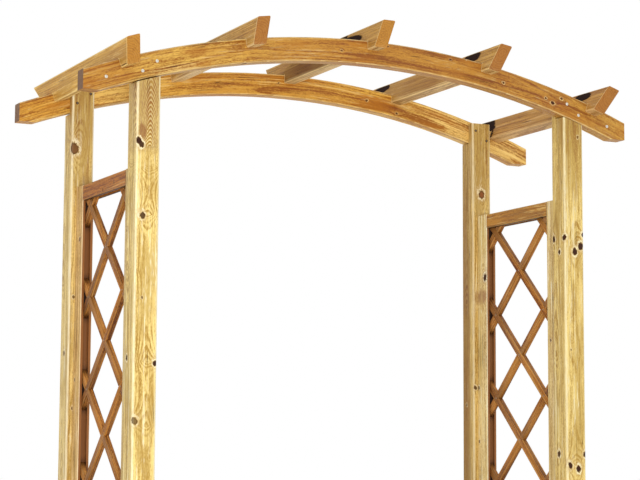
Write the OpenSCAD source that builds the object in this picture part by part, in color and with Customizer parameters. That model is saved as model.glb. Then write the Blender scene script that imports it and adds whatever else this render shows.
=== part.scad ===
// Rose arch: a garden arch of treated pine that people walk through and roses climb.
// Four square posts carry two curved beams, which sit in housings cut in the outer
// faces of the posts. Five rafters on edge are notched over both beams and stand square
// to their curve. A framed lattice panel closes each side between the front and back posts,
// its slats held in a groove that runs round the inside of the frame.
//
// Frame: origin at ground level in the middle of the arch, X across the walkway,
// Y from front to back, Z up. All sizes in millimetres.

/* [Arch] */
// Distance between the centre lines of the left and right posts
span = 1400; // [1000:10:2200]
// Distance between the centre lines of the front and back posts
depth = 540; // [420:10:1000]
// Height of the top of the beams above the ground, at the crown
crown_h = 2200; // [2000:10:2600]

/* [Posts] */
// Side of the square posts
post_w = 70; // [64:1:100]
// Radius of the rounded long edges of the posts
post_edge = 7; // [2:1:12]

/* [Beams] */
// Radius of the top edge of the curved beams
beam_top_r = 2460; // [1900:10:4000]
// Height of a beam, measured square to its curve
beam_h = 70; // [60:1:100]
// Thickness of a beam, front to back
beam_t = 45; // [35:1:52]
// Overhang of a beam past the outer faces of the posts, measured level
beam_overhang = 157; // [110:1:240]
// Height of the upright cut at a beam's ends
beam_nose = 55; // [45:1:65]
// Gap between a beam's bottom edge and the shoulder of the post's housing
shoulder_gap = 3; // [1:0.5:6]

/* [Rafters] */
// Clearance between the outer rafters and the outer faces of the posts
rafter_clear = 10; // [2:1:40]
// Thickness of a rafter
rafter_t = 40; // [25:1:50]
// Height of a rafter
rafter_h = 70; // [65:1:100]
// Depth of the notches that sit over the beams
notch_h = 27; // [15:1:40]
// Clearance on each side of a beam in the notches
notch_gap = 1; // [0.5:0.5:3]
// Overhang of a rafter past the beams' outer faces, along its top edge
overhang_top = 98; // [60:1:200]
// Overhang of a rafter past the beams' outer faces, along its bottom edge
overhang_low = 46; // [20:1:60]

/* [Side panels] */
// Height of the gap under a side panel
panel_gap = 35; // [10:1:100]
// Distance from the top of the posts down to the top of a side panel
panel_drop = 313; // [120:1:600]
// Thickness of the panel's stiles and rails
panel_t = 35; // [26:1:44]
// Width of a stile
stile_w = 58; // [35:1:75]
// Height of a rail
rail_h = 46; // [35:1:70]
// Depth of the groove inside the frame that takes the ends of the slats
groove_depth = 9; // [4:1:12]
// Play between the groove and each face of a slat
groove_play = 0.5; // [0.3:0.1:1]

/* [Lattice] */
// Width of a lattice slat
slat_w = 22; // [16:1:32]
// Thickness of a lattice slat
slat_t = 16; // [8:1:24]
// Height between crossings on the panel's centre line
slat_pitch = 270; // [180:2:300]
// Angle of the slats above level
slat_angle = 44; // [38:1:50]

/* [Timber] */
// Radius of the eased edges of beams, rafters, stiles and rails
eased_edge = 4; // [2:0.5:5]

/* [Hidden] */

LEFT = -1;
RIGHT = 1;
FRONT = -1;
BACK = 1;
cut_over = 1;                       // how far a cutter runs past what it cuts
round_fn = 64;

// Beams
curve_z = crown_h - beam_top_r;     // height of the centre of the beams' curve
beam_low_r = beam_top_r - beam_h;
beam_outer_y = depth / 2 + post_w / 2;
beam_len = span + post_w + 2 * beam_overhang;
beam_end_z = curve_z + sqrt(pow(beam_top_r, 2) - pow(beam_len / 2, 2)) - beam_nose;

// Posts end level with the top of the beams, at the post's centre line
post_h = curve_z + sqrt(pow(beam_top_r, 2) - pow(span / 2, 2));

// Rafters stand at equal angles. The lower inner edge of an outer rafter is the
// clearance away from the post's outer face.
rafter_count = 5;
rafter_low_r = beam_top_r - notch_h;
rafter_edge_x = span / 2 + post_w / 2 + rafter_clear;
rafter_edge_r = sqrt(pow(rafter_low_r, 2) + pow(rafter_t / 2, 2));
rafter_lean = asin(rafter_edge_x / rafter_edge_r) + atan(rafter_t / 2 / rafter_low_r);
rafter_step = 2 * rafter_lean / (rafter_count - 1);

// Side panels
panel_h = post_h - panel_drop - panel_gap;
panel_half = depth / 2 - post_w / 2;          // centre line to the face of a post
opening_half = panel_half - stile_w;          // centre line to the edge of a stile
opening_low = panel_gap + rail_h;
opening_h = panel_h - 2 * rail_h;
opening_top = opening_low + opening_h;
slat_crossings = floor(opening_h / slat_pitch);
slat_first_z = opening_low + (opening_h - (slat_crossings - 1) * slat_pitch) / 2;
groove_w = slat_t + 2 * groove_play;
groove_reach = opening_half + groove_depth;   // centre line to the bottom of a stile's groove
slat_len = 4 * (groove_reach + slat_w);

pine = "#c9a75c";
orange_pine = "#bf8236";
red_pine = "#9a6534";

// A rectangle centred on the origin with rounded corners
module eased_rect(w, h, r) {
    square([w - 2 * r, h], center = true);
    square([w, h - 2 * r], center = true);
    for (x = [-1, 1], y = [-1, 1])
        translate([x * (w / 2 - r), y * (h / 2 - r)])
            circle(r = r, $fn = round_fn);
}

// A square post with its housing: a rebate in the outer face, whose shoulder
// follows the bottom edge of the beam
module post(side, face) {
    housing_h = post_h + cut_over;
    color(pine)
        difference() {
            translate([side * span / 2, face * depth / 2, 0])
                linear_extrude(post_h) eased_rect(post_w, post_w, post_edge);
            translate([0, face * (beam_outer_y - beam_t / 2 + cut_over / 2), 0])
                rotate([90, 0, 0])
                    linear_extrude(beam_t + cut_over, center = true)
                        difference() {
                            translate([side * span / 2 - post_w, 0])
                                square([2 * post_w, housing_h]);
                            translate([0, curve_z])
                                circle(r = beam_low_r - shoulder_gap, $fn = 360);
                        }
        }
}

// A curved beam with eased edges, cut upright at its ends and level at its lower corners
module beam(face) {
    reach = asin(beam_len / 2 / beam_low_r) + 1;
    color(orange_pine)
        intersection() {
            translate([0, face * (beam_outer_y - beam_t / 2), curve_z])
                rotate([90, 0, 0])
                    rotate([0, 0, 90 - reach])
                        rotate_extrude(angle = 2 * reach, $fn = 360)
                            translate([(beam_top_r + beam_low_r) / 2, 0])
                                eased_rect(beam_h, beam_t, eased_edge);
            translate([-beam_len / 2, -depth, beam_end_z])
                cube([beam_len, 2 * depth, crown_h]);
        }
}

// A rafter on edge, square to the beams' curve, notched over both beams
module rafter(number) {
    lean = (number - (rafter_count + 1) / 2) * rafter_step;
    low = rafter_low_r;
    top = low + rafter_h;
    half_top = beam_outer_y + overhang_top;
    half_low = beam_outer_y + overhang_low;
    color(orange_pine)
        translate([0, 0, curve_z])
            difference() {
                rotate([0, lean, 0])
                    intersection() {
                        translate([0, 0, (low + top) / 2])
                            rotate([90, 0, 0])
                                linear_extrude(2 * half_top, center = true)
                                    eased_rect(rafter_t, rafter_h, eased_edge);
                        rotate([90, 0, 90])
                            linear_extrude(2 * rafter_t, center = true)
                                polygon([[-half_low, low], [half_low, low],
                                         [half_top, top], [-half_top, top]]);
                    }
                for (face = [FRONT, BACK])
                    translate([0, face * (beam_outer_y - beam_t / 2), 0])
                        rotate([90, 0, 0])
                            cylinder(r = beam_top_r, h = beam_t + 2 * notch_gap,
                                     center = true, $fn = 360);
            }
}

// An upright at the end of a side panel, against the face of a post, grooved down
// its inner edge
module stile(side, face) {
    color(red_pine)
        difference() {
            translate([side * span / 2, face * (panel_half - stile_w / 2), panel_gap])
                linear_extrude(panel_h) eased_rect(panel_t, stile_w, eased_edge);
            translate([side * span / 2, face * opening_half, panel_gap + panel_h / 2])
                cube([groove_w, 2 * groove_depth, panel_h + 2 * cut_over], center = true);
        }
}

// A cross rail between the stiles, with its middle at height z, grooved along the edge
// at height inner_z. A tongue at each end fills the stile's groove.
module rail(side, z, inner_z) {
    color(red_pine)
        difference() {
            translate([side * span / 2, 0, z]) {
                rotate([90, 0, 0])
                    linear_extrude(2 * opening_half, center = true)
                        eased_rect(panel_t, rail_h, eased_edge);
                cube([slat_t, 2 * groove_reach, rail_h], center = true);
            }
            translate([side * span / 2, 0, inner_z])
                cube([groove_w, 2 * panel_half, 2 * groove_depth], center = true);
        }
}

// Slats on the slant in the middle of the panel's thickness, halved together flush
// where they cross and cut to length in the grooves
module lattice(side) {
    color(red_pine)
        intersection() {
            for (rise = [-1, 1], k = [-1 : slat_crossings])
                translate([side * span / 2, 0, slat_first_z + k * slat_pitch])
                    rotate([rise * slat_angle, 0, 0])
                        cube([slat_t, slat_len, slat_w], center = true);
            translate([side * span / 2 - panel_t / 2, -groove_reach, opening_low - groove_depth])
                cube([panel_t, 2 * groove_reach, opening_h + 2 * groove_depth]);
        }
}

post(LEFT, FRONT);  // post_front_left
post(RIGHT, FRONT);  // post_front_right
post(LEFT, BACK);  // post_back_left
post(RIGHT, BACK);  // post_back_right
beam(FRONT);  // beam_front
beam(BACK);  // beam_back
rafter(1);  // rafter_1
rafter(2);  // rafter_2
rafter(3);  // rafter_3
rafter(4);  // rafter_4
rafter(5);  // rafter_5
stile(LEFT, FRONT);  // stile_left_front
stile(LEFT, BACK);  // stile_left_back
rail(LEFT, opening_top + rail_h / 2, opening_top);  // rail_left_top
rail(LEFT, opening_low - rail_h / 2, opening_low);  // rail_left_bottom
lattice(LEFT);  // lattice_left
stile(RIGHT, FRONT);  // stile_right_front
stile(RIGHT, BACK);  // stile_right_back
rail(RIGHT, opening_top + rail_h / 2, opening_top);  // rail_right_top
rail(RIGHT, opening_low - rail_h / 2, opening_low);  // rail_right_bottom
lattice(RIGHT);  // lattice_right
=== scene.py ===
"""Finishes the rose arch: the pine of its posts, beams, rafters and side panels, the
slats of the two lattices, the fixings, and the stage it is shown on.

All sizes are in metres unless a name ends in _mm. The grain of each piece of timber is
worked out in millimetres, in a frame of its own whose third axis runs along the grain.
"""
import math
import random

import bpy
from bpy.props import FloatProperty, FloatVectorProperty, IntProperty, PointerProperty
from mathutils import Matrix, Vector


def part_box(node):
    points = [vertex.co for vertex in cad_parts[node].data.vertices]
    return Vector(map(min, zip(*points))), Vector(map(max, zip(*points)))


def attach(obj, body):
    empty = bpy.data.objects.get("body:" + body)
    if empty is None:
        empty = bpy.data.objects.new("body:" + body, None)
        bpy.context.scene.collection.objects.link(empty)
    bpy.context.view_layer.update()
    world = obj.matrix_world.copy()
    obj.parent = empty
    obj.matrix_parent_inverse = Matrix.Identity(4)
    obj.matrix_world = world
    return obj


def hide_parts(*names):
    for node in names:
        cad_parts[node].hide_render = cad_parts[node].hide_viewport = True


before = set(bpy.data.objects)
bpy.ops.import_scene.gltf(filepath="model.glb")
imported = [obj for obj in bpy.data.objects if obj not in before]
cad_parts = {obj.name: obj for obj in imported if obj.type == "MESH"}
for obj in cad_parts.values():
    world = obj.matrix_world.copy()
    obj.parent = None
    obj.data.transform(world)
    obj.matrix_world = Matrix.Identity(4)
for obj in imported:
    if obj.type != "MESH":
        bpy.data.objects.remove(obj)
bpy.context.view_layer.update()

bl_info = {
    "name": "Rose arch finish",
    "version": (1, 0, 0),
    "blender": (4, 5, 0),
    "location": "View3D > Sidebar > Rose arch",
    "description": "Timber, slats, fixings and stage for the rose arch",
    "category": "Object",
}

BODY = "root"
MM = 1000.0

SIDES = {"left": -1, "right": 1}
FRONT, BACK = -1, 1


# ---------------------------------------------------------------- places from the frame


def middle(node):
    """The middle of a CAD node's box."""
    low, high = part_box(node)
    return (low + high) / 2


def size(node):
    """The sizes of a CAD node's box."""
    low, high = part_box(node)
    return high - low


BEAM_TOP_R = 2.46
CROWN_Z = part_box("beam_front")[1].z
CURVE_Z = CROWN_Z - BEAM_TOP_R
BEAM_H = 0.07
BEAM_MID_R = BEAM_TOP_R - BEAM_H / 2
POST_HALF = size("post_front_left").x / 2
POST_X = abs(middle("post_front_left").x)
RAFTER_H = 0.07
RAFTER_T = 0.04
POST_EDGE_MM = 7.0
EASED_EDGE_MM = 4.0


def beam_top(x):
    """The height of the top edge of a beam at x."""
    return CURVE_Z + math.sqrt(BEAM_TOP_R**2 - x**2)


def added(name, data):
    """A new object in the scene."""
    thing = bpy.data.objects.new(name, data)
    bpy.context.scene.collection.objects.link(thing)
    return thing


# ---------------------------------------------------------------- node trees


class Wire:
    """An output socket. Arithmetic on it adds the Math nodes that work the result out."""

    def __init__(self, net, socket):
        self.net = net
        self.socket = socket

    def math(self, operation, *values):
        settings = {"operation": operation}
        return self.net.node("ShaderNodeMath", settings, dict(enumerate(values)))

    def __add__(self, other):
        return self.math("ADD", self, other)

    __radd__ = __add__

    def __sub__(self, other):
        return self.math("SUBTRACT", self, other)

    def __rsub__(self, other):
        return self.math("SUBTRACT", other, self)

    def __mul__(self, other):
        return self.math("MULTIPLY", self, other)

    __rmul__ = __mul__

    def __truediv__(self, other):
        return self.math("DIVIDE", self, other)

    def __rtruediv__(self, other):
        return self.math("DIVIDE", other, self)

    def __pow__(self, other):
        return self.math("POWER", self, other)

    def through(self, operation):
        """This value passed through one Math operation."""
        return self.math(operation, self)

    def least(self, other):
        return self.math("MINIMUM", self, other)

    def most(self, other):
        return self.math("MAXIMUM", self, other)

    def size(self):
        return self.through("ABSOLUTE")


class Net:
    """A node tree that is being built, for a material, the world or a modifier."""

    def __init__(self, tree):
        self.tree = tree

    def node(self, kind, settings=None, inputs=None, output=0):
        """Adds a node, sets it and its sockets, and returns one of its outputs."""
        node = self.tree.nodes.new(kind)
        for name, value in (settings or {}).items():
            setattr(node, name, value)
        for key, value in (inputs or {}).items():
            for single in value if isinstance(value, list) else [value]:
                self.join(single, node.inputs[key])
        return Wire(self, node.outputs[output])

    def join(self, value, socket):
        """Links a wire to a socket, or sets the socket to a number, colour or material."""
        if isinstance(value, Wire):
            self.tree.links.new(value.socket, socket)
        elif socket.type == "RGBA":
            socket.default_value = (*value, 1.0)[:4]
        else:
            socket.default_value = value

    def vector(self, operation, *values):
        """Vector Math; lengths and products of two vectors come back as numbers."""
        output = "Value" if operation in ("LENGTH", "DOT_PRODUCT") else "Vector"
        sockets = dict(enumerate(values))
        if operation == "SCALE":
            sockets = {"Vector": values[0], "Scale": values[1]}
        return self.node("ShaderNodeVectorMath", {"operation": operation}, sockets, output)

    def parts(self, vector):
        """The three parts of a vector."""
        split = self.node("ShaderNodeSeparateXYZ", None, {0: vector}).socket.node
        return [Wire(self, socket) for socket in split.outputs]

    def point(self, x, y, z):
        """A vector from its three parts."""
        return self.node("ShaderNodeCombineXYZ", None, {0: x, 1: y, 2: z})

    def place(self):
        """A point's place on the object, in metres."""
        return self.node("ShaderNodeTexCoord", output="Object")

    def across_grain(self, grain):
        """1 on sawn ends, whose faces look along the grain, and 0 on the sides."""
        normal = self.node("ShaderNodeTexCoord", output="Normal")
        return self.vector("DOT_PRODUCT", normal, grain).size()

    def step(self, value, low, high):
        """0 below low, 1 above high and a smooth rise between them."""
        sockets = {"Value": value, "From Min": low, "From Max": high}
        settings = {"interpolation_type": "SMOOTHSTEP", "clamp": False}
        return self.node("ShaderNodeMapRange", settings, sockets)

    def band(self, value, rise, fall):
        """0 at both ends and 1 between them, with a smooth rise and a smooth fall."""
        return self.step(value, *rise) * self.step(value, *fall)

    def blend(self, factor, first, second):
        """One colour over another."""
        settings = {"data_type": "RGBA", "clamp_factor": True}
        sockets = {0: factor, 6: first, 7: second}
        return self.node("ShaderNodeMix", settings, sockets, 2)

    def noise(self, point, across, along, detail, shift):
        """Noise stretched along the grain, its grains so many millimetres in size."""
        scale = (1 / across, 1 / across, 1 / along)
        moved = self.vector("MULTIPLY_ADD", point, scale, (shift, shift * 0.7, -shift))
        sockets = {"Vector": moved, "Scale": 1.0, "Detail": detail}
        return self.node("ShaderNodeTexNoise", None, sockets)


def new_material(name):
    """An empty material: its net, its shader node and the material."""
    material = bpy.data.materials.new(name)
    material.use_nodes = True
    tree = material.node_tree
    tree.nodes.clear()
    shader = tree.nodes.new("ShaderNodeBsdfPrincipled")
    output = tree.nodes.new("ShaderNodeOutputMaterial")
    tree.links.new(shader.outputs[0], output.inputs["Surface"])
    return Net(tree), shader, material


def clouded(name, first, second, scale, detail):
    """A material in clouds of two colours: its net, shader, material and clouds."""
    net, shader, material = new_material(name)
    sockets = {"Vector": net.place(), "Scale": scale, "Detail": detail}
    cloud = net.node("ShaderNodeTexNoise", None, sockets)
    net.join(net.blend(cloud, first, second), shader.inputs["Base Color"])
    return net, shader, material, cloud


def shaded(colour, shade):
    """A colour, a little lighter, darker or warmer on one piece."""
    return tuple(min(part * by, 1.0) for part, by in zip(colour, shade))


# ---------------------------------------------------------------- how a piece lies
# Each gives a function that adds the nodes for a point's place along the grain and for
# how squarely its face is sawn across the grain


SLATS_APART_MM = 900.0  # gives each slat a stretch of grain of its own


def upright(centre):
    """Grain upright, about a line through centre."""
    return straight((centre.x, centre.y, 0.0), Matrix.Identity(3))


def level(centre, lean=0.0):
    """Grain from front to back; the second axis is the piece's height, leaning to +X."""
    across = Vector((-math.cos(lean), 0, math.sin(lean)))
    up = Vector((math.sin(lean), 0, math.cos(lean)))
    axes = Matrix((across, up, Vector((0, 1, 0)))).transposed()
    return straight(centre, axes)


def straight(centre, axes):
    """A straight piece, whose own axes are the columns of a matrix."""
    turn = axes.to_euler()

    def lie(net):
        sockets = {"Vector": net.place(), "Location": centre, "Rotation": turn}
        point = net.node("ShaderNodeMapping", {"vector_type": "TEXTURE"}, sockets)
        return net.vector("SCALE", point, MM), net.across_grain(axes.col[2])

    return lie


def bowed(centre_y):
    """A beam, whose grain follows its curve."""

    def lie(net):
        x, y, z = net.parts(net.place())
        rise = z - CURVE_Z
        radius = (x * x + rise * rise).through("SQRT")
        arc = x.math("ARCTAN2", x, rise) * BEAM_MID_R
        point = net.point(y - centre_y, radius - BEAM_MID_R, arc)
        grain = net.vector("NORMALIZE", net.point(rise, 0.0, 0.0 - x))
        return net.vector("SCALE", point, MM), net.across_grain(grain)

    return lie


def along_slats(net):
    """The slats of a lattice: each has its own grain, kept in the mesh."""
    point = net.node("ShaderNodeAttribute", {"attribute_name": "grain"}, output="Vector")
    number = net.node("ShaderNodeAttribute", {"attribute_name": "slat"}, output="Fac")
    apart = net.vector("SCALE", net.point(0.0, 0.0, number), SLATS_APART_MM)
    return net.vector("ADD", net.vector("SCALE", point, MM), apart), None


# ---------------------------------------------------------------- pine


# Noises of the grain: millimetres across and along it, detail, and shift from the seed
SWAY = (26.0, 240.0, 2.0, 3.1)
BAND = (21.0, 560.0, 2.0, 1.3)
STREAK = (7.0, 210.0, 2.0, 7.7)
FLECK = (2.6, 26.0, 1.0, 8.8)
FIBRE = (0.9, 46.0, 2.0, 5.9)
SPECK = (2.3, 6.5, 1.0, 3.3)
CLOUD = (48.0, 190.0, 3.0, 9.4)
VEIN = (8.0, 420.0, 1.0, 2.2)
CHECKED = (30.0, 160.0, 1.0, 6.1)
KNOT_WOBBLE = (4.0, 7.0, 1.0, 0.0)
GLINT_GAP_NOISE = (14.0, 14.0, 1.0, 1.9)
GRIT = (1.6, 1.6, 1.0, 0.0)

SWAY_MM = 11.0                     # how far the rings sway in and out
HEART_BENDS_MM = (520.0, 610.0)    # length of the heart's bends, each way
FIGURE = (1.2, 1.45, 1.2, 0.45, 1.3)  # weights of bands, streaks, flecks, fibres, specks

# Where each mark starts and where it is full, and how strong it is
LATE_WOOD = (0.2, 0.8), (1.0, 0.88)
CLOUDY = (0.46, 0.66)
CLOUD_STRENGTH = 0.6
WORN = (-0.07, -0.24)
WORN_STRENGTH = 0.55
IN_VEIN = (0.034, 0.010)
VEIN_STRENGTH = 0.42
IN_CHECK = (0.008, 0.002)
CHECKED_PLACES = (0.55, 0.65)
CHECK_STRENGTH = 0.8
EDGE_HIGHLIGHT_STRENGTH = 2.2
SAWN = (0.55, 0.75)
SAWN_STRENGTH = 0.85
FLAME_CONTRAST = 1.9               # extra strength of the rings in a flame
FLAME_SHINE = 0.27                 # paleness between them
PATCH_ON_DARK = 0.7                # how far a stain or painted shade reaches the dark wood
ON_THE_SIDES = 0.6                 # share of the scattered knots
OFF_EDGES = 0.8                    # how far they keep to the middle of a face
SMALL_KNOT_MM = (2.0, 4.5)
SMALL_KNOT_DARK = (0.4, 0.8)
PINE_IOR = 1.4
PINE_GLOSS = 0.32
OVER_GRAIN = ("crack", "knot")     # patches of these woods lie over the grain

# Parts of a knot, by the distance from its axis, which is 1 at its rim
KNOT_WOOD = (1.15, 0.85)
KNOT_HALO = (3.4, 0.9)
KNOT_CORE = (1.1, 0.75)
# a painted glint: a pale ring round the knot, broken in places
PAINTED_GLINT_RING = (1.15, 1.4), (2.3, 1.6)
DARK_RIM = (0.72, 0.95), (1.3, 1.0)
GLINT_GAPS = (0.40, 0.56)
KNOT_CLIMB = 0.25                  # how far it climbs, as a share of its way out
KNOT_ROOT = 0.08                   # its width at the heart, as a share of that outside
KNOT_SLIMNESS = 0.72               # its width, as a share of its height along the grain
SWELL_SLIMNESS = 0.4               # the same of the swelling in the rings round it
SWELL_REACH = 2.1                  # how far out the rings swell, in its radii
SWELL_HEIGHT = 1.7                 # how far they are pushed out, in its radii


class Knot:
    """A knot that comes out of the heart and shows at a place on the surface."""

    def __init__(self, x, y, z, radius, dark=0.8, black=0.9):
        self.place = Vector((x, y, z))
        self.radius = radius
        self.dark = dark
        self.black = black


class Flame:
    """Rings cut at a slant, which show as a stack of pointed arches above a place."""

    def __init__(self, x, y, z, depth, up=75.0, down=9.0, width=17.0, clear=0.3):
        self.place = Vector((x, y, z))
        self.depth = depth
        self.up = up
        self.down = down
        self.width = width
        self.clear = clear


class Patch:
    """A patch in another colour of the timber's palette, longest along the grain. Some are stains,
    others painted shadow, shade and light.
    """

    def __init__(self, x, y, z, wide, long, strength=0.8, wood="tint", deep=0.0):
        self.place = (x, y, z)
        self.spread = (1 / (deep or wide), 1 / wide, 1 / long)
        self.strength = strength
        self.wood = wood


def patch_field(net, point, patch, edge):
    """How strongly a patch covers a point, whether a stain or painted shadow; edge is a little
    noise that frays the patch's outline.
    """
    offset = net.vector("SUBTRACT", point, patch.place)
    away = net.vector("LENGTH", net.vector("MULTIPLY", offset, patch.spread))
    # black patches are painted shadow and keep a sharper outline
    if patch.wood == "crack":
        return net.step(away + edge * 0.4, 1.0, 0.85) * patch.strength
    return net.step(away + edge, 1.0, 0.45) * patch.strength


def knot_fields(net, point, heart, knot):
    """How far a point is from a knot's axis, 1 at its rim, and how far the rings bulge."""
    reach = (knot.place - heart).xy.length
    root = Vector((heart.x, heart.y, knot.place.z - KNOT_CLIMB * reach))
    axis = knot.place - root
    length = axis.length
    axis.normalize()
    offset = net.vector("SUBTRACT", point, root)
    out = net.vector("DOT_PRODUCT", offset, axis)
    aside = net.vector("SUBTRACT", offset, net.vector("SCALE", axis, out))
    flat = net.vector("LENGTH", net.vector("MULTIPLY", aside, (1.0, 1.0, KNOT_SLIMNESS)))
    radius = out.most(length * KNOT_ROOT) * (knot.radius / length)
    ratio = flat / radius + net.step(out, length * 0.25, 0.0) * 9.0
    tall = net.vector("LENGTH", net.vector("MULTIPLY", aside, (1.0, 1.0, SWELL_SLIMNESS)))
    spread = tall / (knot.radius * SWELL_REACH)
    bulge = (spread * spread * -1.0).through("EXPONENT")
    bulge = bulge * net.step(out, 0.0, length * 0.5) * (knot.radius * SWELL_HEIGHT)
    return ratio, bulge


def flame_field(net, point, flame):
    """How far a flame pushes the rings out at a point, and how strongly it shows there."""
    offset = net.vector("SUBTRACT", point, flame.place)
    height = net.parts(offset)[2]
    aside = net.vector("LENGTH", net.vector("MULTIPLY", offset, (1.0, 1.0, 0.0)))
    above = height.most(0.0) / flame.up
    below = (0.0 - height).most(0.0) / flame.down
    away = above + below + (aside / flame.width) ** 1.7
    push = (0.0 - away).through("EXPONENT")
    return push * flame.depth, push * (1.0 - (below * 2.0).least(2.0)) * flame.clear


def from_heart(net, place, look, heart, seed):
    """How far a point is from the heart, which wanders a little along the piece."""
    x, y, z = place
    trail = net.point(seed, 0.0, z)
    long_x, long_y = HEART_BENDS_MM
    drift_x = (net.noise(trail, 1.0, long_x, 1.0, seed) - 0.5) * look.wander_mm
    drift_y = (net.noise(trail, 1.0, long_y, 1.0, seed + 4.0) - 0.5) * look.wander_mm
    away_x = x - drift_x - heart.x
    away_y = y - drift_y - heart.y
    return (away_x * away_x + away_y * away_y).through("SQRT")


def add_knots(net, point, heart, knots, distance, wobble):
    """Swells the rings round the knots. Gives the new distance from the heart and a list:
    how near the nearest knot is, and how strongly the knots' wood, the stain round them
    and their black cores show, or None where there are no knots."""
    shown = None
    for knot in knots:
        ratio, bulge = knot_fields(net, point, heart, knot)
        ratio = ratio * wobble
        distance = distance - bulge
        mark = net.step(ratio, *KNOT_WOOD) * knot.dark
        halo = net.step(ratio, *KNOT_HALO) * knot.dark
        core = net.step(ratio, *KNOT_CORE) * knot.black
        if shown is None:
            shown = [ratio, mark, halo, core]
        else:
            shown = [shown[0].least(ratio), shown[1].most(mark),
                     shown[2].most(halo), shown[3].most(core)]
    return distance, shown


def colour_knots(net, look, colour, shown, glint_gaps, rubbed):
    """Lays the knots over the grain, with a painted glint: a broken pale ring round each. Gives the
    colour and the dark rim round each knot.
    """
    nearest, mark, halo, core = shown
    crack = tuple(look.crack)
    heartwood = net.blend(core, tuple(look.knot), crack)
    glint = net.band(nearest, *PAINTED_GLINT_RING)
    colour = net.blend(halo * 0.6, colour, tuple(look.halo))
    broken = net.step(glint_gaps, *GLINT_GAPS) * 0.65 + 0.35
    colour = net.blend(glint * halo * broken, colour, rubbed)
    colour = net.blend(mark, colour, heartwood)
    rim = net.band(nearest, *DARK_RIM)
    return net.blend(rim * halo * 0.8, colour, crack), rim


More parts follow.
